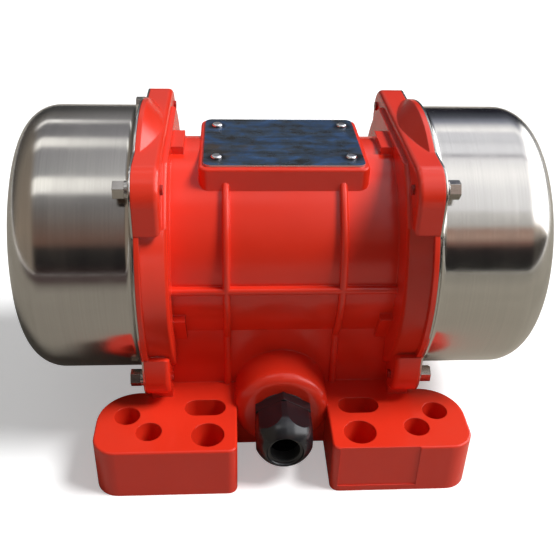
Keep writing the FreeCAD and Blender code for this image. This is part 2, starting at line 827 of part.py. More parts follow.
def gland_nut():
    """Domed nut whose skirt is cut to a hexagon."""
    body = gland_piece("gland_nut")
    start = dim.gland_washer_thick + dim.gland_hex_length + dim.play * 4
    end, outer, dome = start + dim.gland_nut_length, dim.gland_nut_radius, dim.gland_dome
    inside, mouth, lip = dim.gland_nose + dim.play, dim.gland_opening, dim.gland_lip
    seal_end = end - dim.gland_nut_length * 0.1
    drop = outer - mouth - lip
    shoulder = end - root(drop * (dome * 2 - drop))
    turned = [(start, inside), (seal_end, inside), (seal_end, mouth), (end - lip, mouth),
              (end, mouth + lip, lip, -1), (shoulder, outer, dome, 1), (start, outer)]
    revolve(body, outline_sketch(body, "XZ", 0, turned))
    skirt = circle_sketch(body, "YZ", end, (0, 0, outer * 2))
    draw_outline(skirt, hexagon(0, 0, dim.gland_flats))
    pocket(body, skirt, dim.gland_nut_length, name="Flats")


# ------------------------------------------------------------------ bearings and their flanges
def bearing_flange(side, turn):
    """Dished end shield with a spigot in the bore and a hub for the bearing."""
    body = new_body(side + "_bearing_flange", turn)
    play = dim.play
    spigot, plate = dim.bore_radius - play, seat_radius - play
    bearing, shoulder = dim.bearing_outer, dim.bearing_outer - dim.hub_shoulder
    hub = bearing + dim.hub_wall
    land = flange_screw_circle - dim.screw_radius * 2 - 1
    web = seat_face + dim.hub_lip
    profile = [(hub_start, shoulder), (bearing_start, shoulder), (bearing_start, bearing),
               (bearing_end, bearing), (bearing_end, hub - 1), (bearing_end - 1, hub),
               (web + 1, hub), (web, hub + 1), (web, land - 1), (dim.flange_face, land),
               (dim.flange_face, plate), (seat_face, plate), (seat_face, spigot),
               (hub_start, spigot)]
    revolve(body, outline_sketch(body, "XZ", 0, profile))
    holes = circle_sketch(body, "YZ", dim.flange_face, *flange_screws(dim.screw_radius + play * 4))
    pocket(body, holes, dim.flange_thick, name="ScrewHoles")
    heads = circle_sketch(body, "YZ", dim.flange_face, *flange_screws(dim.socket_head + play * 4))
    pocket(body, heads, dim.screw_radius * 2, name="HeadPockets")


def flange_screw_set(side, turn):
    """Three socket head screws, sunk flush in the bearing flange."""
    body = new_body(side + "_flange_screws", turn)
    head = dim.screw_radius * 2
    start = dim.flange_face - head
    tip = flange_back - dim.boss_length + dim.hub_lip
    pad(body, circle_sketch(body, "YZ", tip, *flange_screws(dim.screw_radius)), start - tip, "Shanks")
    pad(body, circle_sketch(body, "YZ", start, *flange_screws(dim.socket_head)), head, "Heads")
    sockets = [hexagon(x, y, dim.screw_radius * 1.6) for x, y, _ in flange_screws(0)]
    pocket(body, outline_sketch(body, "YZ", dim.flange_face, *sockets), head / 2, name="Sockets")


def bearing(side, turn):
    """Sealed ball bearing: outer ring, inner ring and a shield on each side."""
    outer, bore, thick = dim.bearing_outer, dim.bearing_bore, dim.ring_thick
    start, width = bearing_start, dim.bearing_width
    for name, low, high in (("_bearing_outer_ring", outer - thick, outer - dim.play),
                            ("_bearing_inner_ring", bore + dim.play, bore + thick)):
        ring = new_body(side + name, turn)
        pad(ring, circle_sketch(ring, "YZ", start, (0, 0, high), (0, 0, low)), width)
    shields = new_body(side + "_bearing_shields", turn)
    for place in (start + dim.shield_thick, start + width - dim.shield_thick * 2):
        disc = circle_sketch(shields, "YZ", place, (0, 0, outer - thick),
                             (0, 0, bore + thick + dim.play * 4))
        pad(shields, disc, dim.shield_thick)


# ------------------------------------------------------------------ magnets and brushes
def stator_yoke():
    body = new_body("stator_yoke")
    ring = circle_sketch(body, "YZ", -hub_start, (0, 0, dim.bore_radius - dim.play),
                         (0, 0, yoke_inside))
    pad(body, ring, hub_start + holder_start)


def field_magnets():
    """Two arc magnets on the yoke, above and below the armature."""
    body = new_body("field_magnets")
    across, up = sine(dim.magnet_half_angle), cosine(dim.magnet_half_angle)
    outer = yoke_inside - dim.play
    inner = yoke_inside - dim.magnet_thick
    arc = [(inner * across, inner * up, inner, -1), (outer * across, outer * up),
           (0, outer, outer, 1), (-outer * across, outer * up, outer, 1),
           (-inner * across, inner * up), (0, inner, inner, -1)]
    pad(body, outline_sketch(body, "YZ", dim.magnet_start, arc), dim.magnet_length)
    pattern(body, 2)


def brush_holder():
    """Ring clamped behind the bearing flange, with a box for each brush."""
    body = new_body("brush_holder")
    bore = dim.commutator_radius + dim.holder_wall
    ring = circle_sketch(body, "YZ", holder_start, (0, 0, dim.bore_radius - dim.play * 2), (0, 0, bore))
    pad(body, ring, dim.holder_thick, "Ring")
    outer, start = dim.brush_width / 2 + dim.holder_wall, holder_start - dim.brush_box_length
    walls = outline_sketch(body, "XY", bore, rectangle(start, holder_start, -outer, outer),
                           rectangle(start + dim.holder_wall, holder_start - dim.holder_wall,
                                     -dim.brush_width / 2, dim.brush_width / 2))
    pad(body, walls, brush_top() + dim.brush_spring * 2 + 1 - bore, "Box")
    pattern(body, 2)


def brush_top():
    return dim.commutator_radius + dim.play + dim.brush_length


def brushes():
    body = new_body("brushes")
    start = holder_start - dim.brush_box_length + dim.holder_wall + dim.play
    end = holder_start - dim.holder_wall - dim.play
    half = dim.brush_width / 2 - dim.play
    block = outline_sketch(body, "XY", dim.commutator_radius + dim.play,
                           rectangle(start, end, -half, half))
    pad(body, block, dim.brush_length)
    pattern(body, 2)


def brush_springs():
    """A rolled strip that presses on each brush."""
    body = new_body("brush_springs")
    roll = dim.brush_spring
    start = holder_start - dim.brush_box_length + dim.holder_wall * 2
    rolled = circle_sketch(body, "YZ", start, (0, brush_top() + roll, roll),
                           (0, brush_top() + roll, roll * 0.6))
    pad(body, rolled, dim.brush_box_length - dim.holder_wall * 4)
    pattern(body, 2)


# ------------------------------------------------------------------ rotor
def shaft():
    body = new_body("shaft")
    thick, journal, seat, end = dim.shaft_radius, dim.bearing_bore, dim.weight_bore, dim.shaft_end
    groove_start = weights_end + dim.weight_gap
    groove_end = groove_start + dim.circlip_thick
    groove = seat - dim.circlip_depth
    half = [(bearing_start, thick), (bearing_start, journal), (bearing_end, journal),
            (bearing_end, seat), (groove_start, seat), (groove_start, groove), (groove_end, groove),
            (groove_end, seat), (end - 1, seat), (end, seat - 1)]
    whole = [(-x, r) for x, r in half] + [(-end, 0), (end, 0)] + list(reversed(half))
    revolve(body, outline_sketch(body, "XZ", 0, whole))
    low = dim.weight_bore - dim.key_width / 2
    slot = dim.key_width / 2
    for side in (-1, 1):
        first = weight_start * side
        last = (weight_start + dim.weight_thick) * side
        left, right = (first, last) if side > 0 else (last, first)
        sketch = outline_sketch(body, "XY", thick, rectangle(left, right, -slot, slot))
        pocket(body, sketch, thick - low, name="KeySeat")


def weight_keys():
    body = new_body("weight_keys")
    low, half = dim.weight_bore - dim.key_width / 2 + dim.play, dim.key_width / 2 - dim.play
    inset = dim.play * 2
    near, far = weight_start + inset, weight_start + dim.weight_thick - inset
    sketch = outline_sketch(body, "XY", low, rectangle(near, far, -half, half),
                            rectangle(-far, -near, -half, half))
    pad(body, sketch, dim.key_width - dim.play)


def shaft_circlips():
    """Open rings that stop the weights from leaving the shaft."""
    body = new_body("shaft_circlips")
    groove = dim.weight_bore - dim.circlip_depth + dim.play
    rim = dim.weight_bore + dim.circlip_rim
    start, thick = weights_end + dim.weight_gap + dim.play, dim.circlip_thick - dim.play * 2
    for place in (start, -(start + thick)):
        pad(body, circle_sketch(body, "YZ", place, (0, 0, rim), (0, 0, groove)), thick, "Ring")
    half = dim.weight_bore * 0.4
    gap = outline_sketch(body, "YZ", start + thick, rectangle(-half, half, 0, rim + 1))
    pocket(body, gap, (start + thick) * 2, name="Opening")


def armature_core():
    """Stack of slotted laminations on the shaft."""
    body = new_body("armature_core")
    disc = circle_sketch(body, "YZ", dim.core_start, (0, 0, core_radius),
                         (0, 0, dim.shaft_radius + dim.play))
    pad(body, disc, dim.core_length, "Stack")
    half, mouth = dim.coil_slot_width / 2, dim.coil_slot_width / 5
    top = core_radius - dim.tooth_tip
    low = top - dim.coil_slot_depth
    slot = [(-half, low), (half, low), (half, top), (mouth, top), (mouth, core_radius + 1),
            (-mouth, core_radius + 1), (-mouth, top), (-half, top)]
    cut = pocket(body, outline_sketch(body, "YZ", core_end, slot), dim.core_length, name="Slot")
    repeat(body, [cut], dim.slot_count)


def armature_windings():
    """Coil sides in the slots, joined by a bundle of end turns at each end of the stack."""
    body = new_body("armature_windings")
    gap = dim.play * 4
    half = dim.coil_slot_width / 2 - gap
    top = core_radius - dim.tooth_tip - gap
    low = top - dim.coil_slot_depth + gap * 2
    over = dim.coil_overhang
    coil = outline_sketch(body, "YZ", dim.core_start - over / 2, rectangle(-half, half, low, top))
    pad(body, coil, dim.core_length + over, "CoilSide")
    pattern(body, dim.slot_count)
    inner, outer = dim.shaft_radius + dim.tooth_tip, top + HALF
    for near, far in ((dim.core_start - over, dim.core_start - gap), (core_end + gap, core_end + over)):
        bundle = [(near, inner), (far, inner), (far, outer - 1), (far - 1, outer), (near + 3, outer),
                  (near, outer - 3)]
        revolve(body, outline_sketch(body, "XZ", 0, bundle), name="EndTurns")


def commutator():
    body = new_body("commutator")
    riser = dim.commutator_radius + dim.holder_wall / 2
    start, bore = commutator_start, dim.shaft_radius + dim.play
    profile = [(start, bore), (commutator_end, bore), (commutator_end, dim.commutator_radius),
               (start + dim.holder_wall, dim.commutator_radius), (start + dim.holder_wall, riser),
               (start, riser)]
    revolve(body, outline_sketch(body, "XZ", 0, profile))
    half = dim.holder_wall / 6
    slot = rectangle(-half, half, dim.commutator_radius - 1, riser + 1)
    cut = pocket(body, outline_sketch(body, "YZ", commutator_end, slot),
                 dim.commutator_length, name="Slot")
    repeat(body, [cut], dim.slot_count)


def weight_spacer(side, turn):
    body = new_body(side + "_weight_spacer", turn)
    ring = circle_sketch(body, "YZ", bearing_end, (0, 0, dim.weight_bore + dim.spacer_wall),
                         (0, 0, dim.weight_bore + dim.play))
    pad(body, ring, dim.spacer_length)


# ------------------------------------------------------------------ eccentric weights
def weight_outline():
    """Half disc that hangs below the shaft, with a round hub above it."""
    big, hub = dim.weight_radius, dim.weight_hub
    return [(-big, 0), (0, -big, big, 1), (big, 0, big, 1), (hub, 0), (0, hub, hub, 1), (-hub, 0, hub, 1)]


def fixed_weight(side, turn):
    body = new_body(side + "_fixed_weight", turn)
    pad(body, outline_sketch(body, "YZ", weight_start, weight_outline()), dim.weight_thick)
    end = weight_start + dim.weight_thick
    pocket(body, circle_sketch(body, "YZ", end, (0, 0, dim.weight_bore + dim.play)),
           dim.weight_thick, name="Bore")
    half, top = dim.key_width / 2, dim.weight_bore + dim.key_width / 2 + dim.play
    pocket(body, outline_sketch(body, "YZ", end, rectangle(-half, half, 0, top)),
           dim.weight_thick, name="Keyway")


def adjustable_weight(side, turn):
    """The same half disc with a split, clamped hub, which turns on the shaft when it is loosened."""
    body = new_body(side + "_adjustable_weight", turn)
    pad(body, outline_sketch(body, "YZ", adjustable_start, weight_outline()), dim.weight_thick)
    half, height = dim.clamp_half_width, dim.clamp_height
    ears = rectangle(-half, half, 0, height)
    pad(body, outline_sketch(body, "YZ", adjustable_start, ears), dim.weight_thick, "Ears")
    bore = circle_sketch(body, "YZ", weights_end, (0, 0, dim.weight_bore + dim.play))
    pocket(body, bore, dim.weight_thick, name="Bore")
    split = dim.clamp_split / 2
    gap = outline_sketch(body, "YZ", weights_end, rectangle(-split, split, 0, height + 1))
    pocket(body, gap, dim.weight_thick, name="Split")
    middle = adjustable_start + dim.weight_thick / 2
    hole = circle_sketch(body, "XZ", half, (middle, clamp_level(), dim.clamp_bolt + dim.play))
    pocket(body, hole, half * 2, name="BoltHole")


def clamp_level():
    """Height of the clamp bolt above the shaft."""
    return (dim.weight_bore + dim.clamp_height) / 2


def clamp_bolt(side, turn):
    body = new_body(side + "_clamp_bolt", turn)
    middle = adjustable_start + dim.weight_thick / 2
    half, head = dim.clamp_half_width, dim.clamp_bolt * 2
    shank = circle_sketch(body, "XZ", -half, (middle, clamp_level(), dim.clamp_bolt))
    pad(body, shank, half * 2, "Shank")
    top = circle_sketch(body, "XZ", half, (middle, clamp_level(), dim.clamp_head))
    pad(body, top, head, "Head")
    socket = outline_sketch(body, "XZ", half + head,
                            hexagon(middle, clamp_level(), dim.clamp_bolt * 1.7))
    pocket(body, socket, head / 2, name="Socket")


housing()
nameplate()
nameplate_rivets()
for make in (gland_washer, gland_body, gland_seal, gland_nut, stator_yoke, field_magnets,
             brush_holder, brushes, brush_springs, shaft, weight_keys, shaft_circlips,
             armature_core, armature_windings, commutator):
    make()
for side_name, half_turn in (("right", 0), ("left", 180)):
    for make in (bearing_flange, flange_screw_set, bearing, cover, cover_seal, cover_screws,
                 cover_washers, weight_spacer, fixed_weight, adjustable_weight, clamp_bolt):
        make(side_name, half_turn)


def finish():
    """Check every object, then write one file per sub-part."""
    doc.recompute()
    for item in doc.Objects:
        if "Invalid" in item.State or "Error" in item.State:
            raise RuntimeError("%s failed: %s" % (item.Label, item.State))
    os.makedirs("parts", exist_ok=True)
    for body in doc.findObjects("PartDesign::Body"):
        shape = body.Shape
        if shape.isNull() or not shape.isValid():
            raise RuntimeError("%s has no valid shape" % body.Label)
        shape.exportStep("parts/%s.step" % body.Label)
        print("%-26s %2d solids %10.1f mm3" % (body.Label, len(shape.Solids), shape.Volume))


finish()
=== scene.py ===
# %% [markdown]
# # A vibration motor, dressed for the camera
# The motor arrives as a fixed frame of solid pieces: a ribbed red casting on four feet, drawn
# steel end covers, a cable gland and a riveted plate, with the rotor and its weights inside.
# This lesson gives each piece its finish, and replaces the pieces whose curves deserve smoother
# surfaces with ones worked out in numpy. Everything is in metres, with the shaft along X.

# %% Load the frame
import json
import math

import bmesh
import bpy
import numpy as np
from mathutils import Matrix, Vector


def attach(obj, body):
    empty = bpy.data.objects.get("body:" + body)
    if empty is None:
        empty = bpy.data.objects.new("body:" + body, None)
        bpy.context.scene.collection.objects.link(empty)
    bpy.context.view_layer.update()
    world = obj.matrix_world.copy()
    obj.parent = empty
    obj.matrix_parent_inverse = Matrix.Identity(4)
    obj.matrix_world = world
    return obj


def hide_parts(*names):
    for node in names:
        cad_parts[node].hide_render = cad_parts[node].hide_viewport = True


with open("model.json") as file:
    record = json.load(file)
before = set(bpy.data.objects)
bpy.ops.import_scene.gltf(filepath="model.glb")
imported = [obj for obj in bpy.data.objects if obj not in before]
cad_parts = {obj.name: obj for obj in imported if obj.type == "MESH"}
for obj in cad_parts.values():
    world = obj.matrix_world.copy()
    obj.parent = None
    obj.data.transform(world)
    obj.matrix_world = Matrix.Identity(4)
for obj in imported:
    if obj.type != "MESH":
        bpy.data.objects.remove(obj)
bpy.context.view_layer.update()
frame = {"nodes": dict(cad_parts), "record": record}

MM = 0.001
nodes = frame["nodes"]
print("nodes in the frame:", len(nodes))

# %% [markdown]
# ## Camera
# The camera looks down on the gland side from a little left of the middle. Its place and its
# three directions are written out as a matrix, because a matrix says exactly what it does:
# its columns are the camera's right, its up, its backward direction and its place.

# %% Camera
CAMERA_PLACE = Vector((-21.594, -313.916, 259.604)) * MM
CAMERA_RIGHT = Vector((0.9981201, -0.0552405, 0.0265473))
CAMERA_UP = Vector((0.0075713, 0.5409712, 0.8410070))
LENS = 50.30

camera_data = bpy.data.cameras.new("camera")
camera_data.lens = LENS
camera_data.clip_start = 0.01
camera_data.clip_end = 30.0
camera = bpy.data.objects.new("camera", camera_data)
back = CAMERA_RIGHT.cross(CAMERA_UP).normalized()
turn = Matrix((CAMERA_RIGHT, CAMERA_UP, back)).transposed().to_4x4()
camera.matrix_world = Matrix.Translation(CAMERA_PLACE) @ turn
bpy.context.scene.collection.objects.link(camera)
bpy.context.scene.camera = camera
bpy.context.scene.view_settings.view_transform = "Standard"
print("camera stands", round(CAMERA_PLACE.length, 3), "m from the middle of the feet")

# %% [markdown]
# ## Surfaces from arrays
# Every new piece is a grid of points: one direction runs along a profile, the other runs round.
# The whole grid is one array, so no loop visits single vertices. The last row of faces joins
# the first, and a profile that ends on the axis closes in one pole.

# %% Grid helper
def grid_piece(name, points):
    """Mesh from points[i, j]: i goes round and closes, j goes along the profile.

    Face (i, j) joins points (i, j), (i+1, j), (i+1, j+1) and (i, j+1), with i taken round.
    """
    around, along = points.shape[:2]
    index = np.arange(around * along).reshape(around, along)
    following = np.roll(index, -1, axis=0)
    quads = np.stack([index[:, :-1], following[:, :-1], following[:, 1:], index[:, 1:]], -1)
    mesh = bpy.data.meshes.new(name)
    mesh.from_pydata(points.reshape(-1, 3), [], quads.reshape(-1, 4).tolist())
    mesh.shade_smooth()
    add_unwrap(mesh, quads, points)
    piece = bpy.data.objects.new(name, mesh)
    bpy.context.scene.collection.objects.link(piece)
    return piece


def add_unwrap(mesh, quads, points):
    """UV map: u goes once round, and v is the length in metres along the first profile line."""
    around, along = points.shape[:2]
    turn_number = (quads // along).astype(float)
    turn_number[..., 1:3] = turn_number[..., :1] + 1
    steps = np.linalg.norm(np.diff(points[0], axis=0), axis=-1)
    length = np.concatenate([[0], np.cumsum(steps)])
    both = np.stack([turn_number / around, length[quads % along]], -1).reshape(-1)
    layer = mesh.uv_layers.new(name="unwrap")
    layer.data.foreach_set("uv", both)


MERGE_DISTANCE = 1e-7


def closed_ends(piece):
    """Merge the points that share a pole and point the faces outwards."""
    work = bmesh.new()
    work.from_mesh(piece.data)
    bmesh.ops.remove_doubles(work, verts=work.verts, dist=MERGE_DISTANCE)
    bmesh.ops.recalc_face_normals(work, faces=work.faces)
    work.to_mesh(piece.data)
    work.free()
    return piece


print("grid pieces close within", MERGE_DISTANCE, "m")

# %% [markdown]
# ## Profiles
# A turned or drawn piece is a profile of straight runs and arcs. The corner helper replaces a
# sharp corner with a fan of points on a circle that touches both runs, so a profile is written
# as corners and radii, as it would stand on a drawing.

# %% Profile helper
def rounded_profile(corners, steps=8):
    """Points of an open profile; each corner is (x, y, radius).

    The arc at a corner touches both runs at radius / tan(half the angle between them), and its
    points are the circle's centre plus radius times a direction swung evenly between the two.
    """
    found = [np.array(corners[0][:2], float)[None]]
    for before, corner, after in zip(corners, corners[1:], corners[2:]):
        tip, radius = np.array(corner[:2], float), corner[2]
        if radius == 0:
            found.append(tip[None])
            continue
        one = np.array(before[:2]) - tip
        two = np.array(after[:2]) - tip
        one, two = one / np.linalg.norm(one), two / np.linalg.norm(two)
        half = math.acos(float(np.clip(one @ two, -1, 1))) / 2
        middle = (one + two) / np.linalg.norm(one + two)
        centre = tip + middle * radius / math.sin(half)
        start = tip + one * radius / math.tan(half) - centre
        end = tip + two * radius / math.tan(half) - centre
        first, last = math.atan2(start[1], start[0]), math.atan2(end[1], end[0])
        sweep = (last - first + math.pi) % (2 * math.pi) - math.pi
        angle = first + sweep * np.linspace(0, 1, steps + 1)
        found.append(centre + radius * np.stack([np.cos(angle), np.sin(angle)], -1))
    found.append(np.array(corners[-1][:2], float)[None])
    return np.concatenate(found)


def turned_points(profile, count, along, side, centre):
    """profile (s, r) spun about an axis: point = centre + s * along + r * (cos * side + sin * up)."""
    along, side, centre = (np.array(v, float) for v in (along, side, centre))
    up = np.cross(along, side)
    angle = np.linspace(0, 2 * math.pi, count, endpoint=False)[:, None, None]
    s, r = profile[None, :, 0, None], profile[None, :, 1, None]
    return centre + s * along + r * (np.cos(angle) * side + np.sin(angle) * up)


print("a quarter bend of 8 steps has", len(rounded_profile([(0, 0), (1, 0, 0.5), (1, 1)])), "points")

# %% [markdown]
# ## Nodes, one call at a time
# A material is a tree of small nodes. Laying them by hand takes three lines each, so this class
# gives every node that the lesson needs a short call, which returns the node's output. Patterns
# read Object coordinates: their grain then has a real size in metres and never slides.

# %% Node helpers
SHAFT_HEIGHT = 0.082


class Nodes:
    """Adds nodes to a tree and wires them up."""

    def __init__(self, tree):
        self.tree = tree

    def add(self, kind):
        return self.tree.nodes.new("ShaderNode" + kind)

    def link(self, source, target):
        self.tree.links.new(source, target)

    def feed(self, value, socket):
        """Link an output to the socket, or write a number or a colour on it."""
        if isinstance(value, bpy.types.NodeSocket):
            self.link(value, socket)
        else:
            socket.default_value = (*value, 1) if isinstance(value, tuple) else value

    def maths(self, operation, *values):
        node = self.add("Math")
        node.operation = operation
        for socket, value in zip(node.inputs, values):
            self.feed(value, socket)
        return node.outputs[0]

    def spread(self, value, start, end, low=0.0, high=1.0, smooth=False):
        """low to high as the value goes from start to end, held at both ends."""
        node = self.add("MapRange")
        if smooth:
            node.interpolation_type = "SMOOTHSTEP"
        for name, amount in (("From Min", start), ("From Max", end), ("To Min", low), ("To Max", high)):
            node.inputs[name].default_value = amount
        self.link(value, node.inputs["Value"])
        return node.outputs["Result"]

    def ramp(self, value, stops):
        """Colours or greys by value; stops are (place, colour)."""
        node = self.add("ValToRGB")
        elements = node.color_ramp.elements
        while len(elements) < len(stops):
            elements.new(0.5)
        for element, (position, colour) in zip(elements, stops):
            element.position = position
            element.color = (*colour, 1) if isinstance(colour, tuple) else (colour,) * 3 + (1,)
        self.link(value, node.inputs["Fac"])
        return node.outputs["Color"]

    def blend(self, share, first, second, kind="MIX"):
        """Mix of two colours by a share; each may be an output or a constant."""
        node = self.add("Mix")
        node.data_type, node.blend_type = "RGBA", kind
        for socket, value in zip((node.inputs[0], node.inputs[6], node.inputs[7]),
                                 (share, first, second)):
            self.feed(value, socket)
        return node.outputs[2]

    def tinted(self, first, second):
        """Product of two colours."""
        return self.blend(1.0, first, second, "MULTIPLY")

    def seen_rays(self):
        """1 for camera, glossy and transmission rays, 0 for the rest: the largest of the three."""
        rays = self.add("LightPath").outputs
        shiny = self.maths("MAXIMUM", rays["Is Camera Ray"], rays["Is Glossy Ray"])
        return self.maths("MAXIMUM", shiny, rays["Is Transmission Ray"])


print("node helpers:", len([name for name in vars(Nodes) if not name.startswith("_")]))

# %% [markdown]
# ## Places and patterns
# A pattern needs to know where it is. These calls give the place on the piece, the place seen
# from the shaft, and a noise over either.

# %% Place helpers
class Places(Nodes):
    """Nodes that read where a point lies on the piece, in metres."""

    def place(self, stretch=(1, 1, 1)):
        """Object coordinates, stretched along the axes."""
        mapping = self.add("Mapping")
        mapping.inputs["Scale"].default_value = stretch
        self.link(self.add("TexCoord").outputs["Object"], mapping.inputs["Vector"])
        return mapping.outputs["Vector"]

    def axes(self, vector=None):
        """x, y and z of a vector, or of the object coordinates."""
        parts = self.add("SeparateXYZ")
        self.link(vector or self.place(), parts.inputs[0])
        return parts.outputs

    def length(self, first, second):
        """Square root of the sum of two squares."""
        squares = [self.maths("MULTIPLY", value, value) for value in (first, second)]
        return self.maths("SQRT", self.maths("ADD", *squares))

    def shaft_place(self):
        """x, y, height over the shaft and distance from it."""
        x, y, z = self.axes()
        height = self.maths("SUBTRACT", z, SHAFT_HEIGHT)
        return x, y, height, self.length(y, height)

    def noise(self, scale, detail=4.0, place=None, rough=0.55):
        texture = self.add("TexNoise")
        texture.inputs["Scale"].default_value = scale
        texture.inputs["Detail"].default_value = detail
        texture.inputs["Roughness"].default_value = rough
        self.link(place or self.place(), texture.inputs["Vector"])
        return texture.outputs["Fac"]


print("the shaft lies", SHAFT_HEIGHT, "m over the floor")

# %% [markdown]
# ## A finish
# Each finish is a Principled shader whose colour, roughness and relief vary with the noise.
# Values that are the same everywhere, such as the metal share, stay on the shader's own sockets.

# %% Finish helper
NOISE_LOW, NOISE_HIGH = 0.3, 0.7  # nearly all of a noise lies between these


class Finish(Places):
    """A material with one Principled shader."""

    def __init__(self, name, colour, roughness, **sockets):
        self.material = bpy.data.materials.new(name)
        self.material.use_nodes = True
        super().__init__(self.material.node_tree)
        self.shader = self.tree.nodes["Principled BSDF"]
        self.shader.inputs["Base Color"].default_value = (*colour, 1)
        self.shader.inputs["Roughness"].default_value = roughness
        for socket, value in sockets.items():
            self.shader.inputs[socket.replace("_", " ")].default_value = value
        self.relief = None

    def colour(self, value):
        self.link(value, self.shader.inputs["Base Color"])

    def mottled(self, noise, dark, light):
        """One colour that wavers with the noise between a darker and a lighter shade."""
        return self.ramp(noise, [(NOISE_LOW, dark), (NOISE_HIGH, light)])

    def roughness(self, noise, low, high):
        rough = self.spread(noise, NOISE_LOW, NOISE_HIGH, low, high)
        self.link(rough, self.shader.inputs["Roughness"])

    def bump(self, value, depth):
        """Relief of this depth in metres, laid on the relief so far."""
        node = self.add("Bump")
        node.inputs["Distance"].default_value = depth
        self.link(value, node.inputs["Height"])
        if self.relief:
            self.link(self.relief, node.inputs["Normal"])
        self.relief = node.outputs["Normal"]
        self.link(self.relief, self.shader.inputs["Normal"])

    def soft_edges(self, radius):
        """Shade sharp edges as if they were rounded to this radius."""
        node = self.add("Bevel")
        node.samples = 6
        node.inputs["Radius"].default_value = radius
        self.relief = node.outputs["Normal"]
        self.link(self.relief, self.shader.inputs["Normal"])


print("noise runs from about", NOISE_LOW, "to", NOISE_HIGH)

# %% [markdown]
# ## Red enamel on a casting
# The housing is cast and sprayed with glossy vermilion. The paint is almost even, with a slow
# change of shade and the soft waviness of the casting beneath. Edges of a casting are never
# sharp, so the shading rounds them by half a millimetre. The ring behind each cover is a
# shallow cone on the real casting, and a relief gives the plain ring that lean.

# %% Red enamel
RING_START, RING_END = 0.0465, 0.057  # the ring's stretch along the shaft
RING_RADIUS, RING_SKIN = 0.059, 0.0006  # how far it stands from the shaft, and within what
RING_MIDDLE, RING_HALF = -0.0045, 0.0355  # the height between the lugs, over the shaft
RING_LEAN = 0.75  # rise for each metre along the shaft


def flared_ring(finish):
    """Height that makes the ring behind each cover shade as a cone that widens to its rim.

    The height is RING_LEAN times the distance from the ring's start, inside a mask that is 1
    only on the ring's own surface beside the lugs: at its radius, and near the shaft's height.
    """
    x, y, height, radius = finish.shaft_place()
    outwards = finish.maths("MINIMUM", finish.maths("ABSOLUTE", x), RING_END)
    way = finish.maths("MAXIMUM", finish.maths("SUBTRACT", outwards, RING_START), 0.0)
    on_ring = finish.maths("COMPARE", radius, RING_RADIUS, RING_SKIN)
    beside = finish.maths("COMPARE", height, RING_MIDDLE, RING_HALF)
    rise = finish.maths("MULTIPLY", way, RING_LEAN)
    return finish.maths("MULTIPLY", rise, finish.maths("MULTIPLY", on_ring, beside))


def red_enamel():
    finish = Finish("red_enamel", (0.80, 0.036, 0.014), 0.22)
    finish.soft_edges(0.0006)
    finish.colour(finish.mottled(finish.noise(14, 3), (0.76, 0.032, 0.012), (0.84, 0.040, 0.016)))
    finish.roughness(finish.noise(60, 5), 0.17, 0.27)
    finish.bump(finish.noise(30, 1), 0.00012)
    finish.bump(flared_ring(finish), 1.0)
    return finish.material


enamel = red_enamel()
print("enamel nodes:", len(enamel.node_tree.nodes))

# %% [markdown]
# ## Drawn stainless steel
# The covers are drawn cups, brushed round their axis and then polished. Fine lines run round
# the cup, so the noise changes quickly from one ring to the next and slowly along a ring. The
# shader is anisotropic as well: brushing blurs a reflection across the lines and leaves it
# sharp along them, so a lamp above the cup is a crisp band with soft ends.

# %% Brushed steel
def ring_place(finish, fine, slow):
    """Coordinates that change quickly from ring to ring about the shaft and slowly round it.

    The first is (|x| + r) * fine, with r the distance from the shaft: x changes along a cover's
    wall and r across its end, so their sum changes everywhere along the profile. The other two
    are y and the height over the shaft, times slow.
    """
    x, y, height, radius = finish.shaft_place()
    ring = finish.maths("MULTIPLY", finish.maths("ADD", finish.maths("ABSOLUTE", x), radius), fine)
    joined = finish.add("CombineXYZ")
    finish.link(ring, joined.inputs[0])
    finish.link(finish.maths("MULTIPLY", y, slow), joined.inputs[1])
    finish.link(finish.maths("MULTIPLY", height, slow), joined.inputs[2])
    return joined.outputs[0]


def shades(colour, dark, light):
    """A darker and a lighter shade of a colour, by two factors."""
    return tuple(tuple(min(part * factor, 1) for part in colour) for factor in (dark, light))


def brushed_steel(name, colour):
    finish = Finish(name, colour, 0.2, Metallic=1.0, Anisotropic=0.75, Anisotropic_Rotation=0.25)
    round_shaft = finish.add("Tangent")
    round_shaft.direction_type = "RADIAL"
    round_shaft.axis = "X"
    finish.link(round_shaft.outputs[0], finish.shader.inputs["Tangent"])
    lines = finish.noise(1, 3, ring_place(finish, 2100.0, 12.0), 0.75)
    smears = finish.noise(1, 3, ring_place(finish, 150.0, 30.0), 0.5)
    finish.colour(finish.mottled(lines, *shades(colour, 0.94, 1.04)))
    finish.roughness(smears, 0.14, 0.21)
    finish.bump(finish.noise(16, 1), 0.00025)
    return finish.material


steel_cup = brushed_steel("brushed_steel_cup", (0.52, 0.50, 0.465))
print("cup steel nodes:", len(steel_cup.node_tree.nodes))

# %% [markdown]
# ## Plain metals
# Screws, washers, shafts, weights and copper share one recipe, with their own colour, roughness
# and grain. The ends of the cover screws were sprayed with the casting, so within a given
# distance from the motor's middle that steel turns to dull red paint.

# %% Plain steel
SPRAYED = (0.35, 0.012, 0.006)


def plain_steel(name, colour, roughness, grain=700, relief=0.000008, metallic=1.0,
                sprayed_within=None):
    finish = Finish(name, colour, roughness, Metallic=metallic)
    finish.soft_edges(0.00025)
    fine, slow = finish.noise(grain, 4), finish.noise(90, 4)
    shade = finish.mottled(slow, *shades(colour, 0.8, 1.12))
    if sprayed_within:
        from_middle = finish.maths("ABSOLUTE", finish.axes()[0])
        bare = finish.maths("GREATER_THAN", from_middle, sprayed_within)
        shade = finish.blend(bare, SPRAYED, shade)
        finish.link(bare, finish.shader.inputs["Metallic"])
    finish.colour(shade)
    finish.roughness(fine, roughness * 0.75, roughness * 1.35)
    finish.bump(fine, relief)
    return finish.material


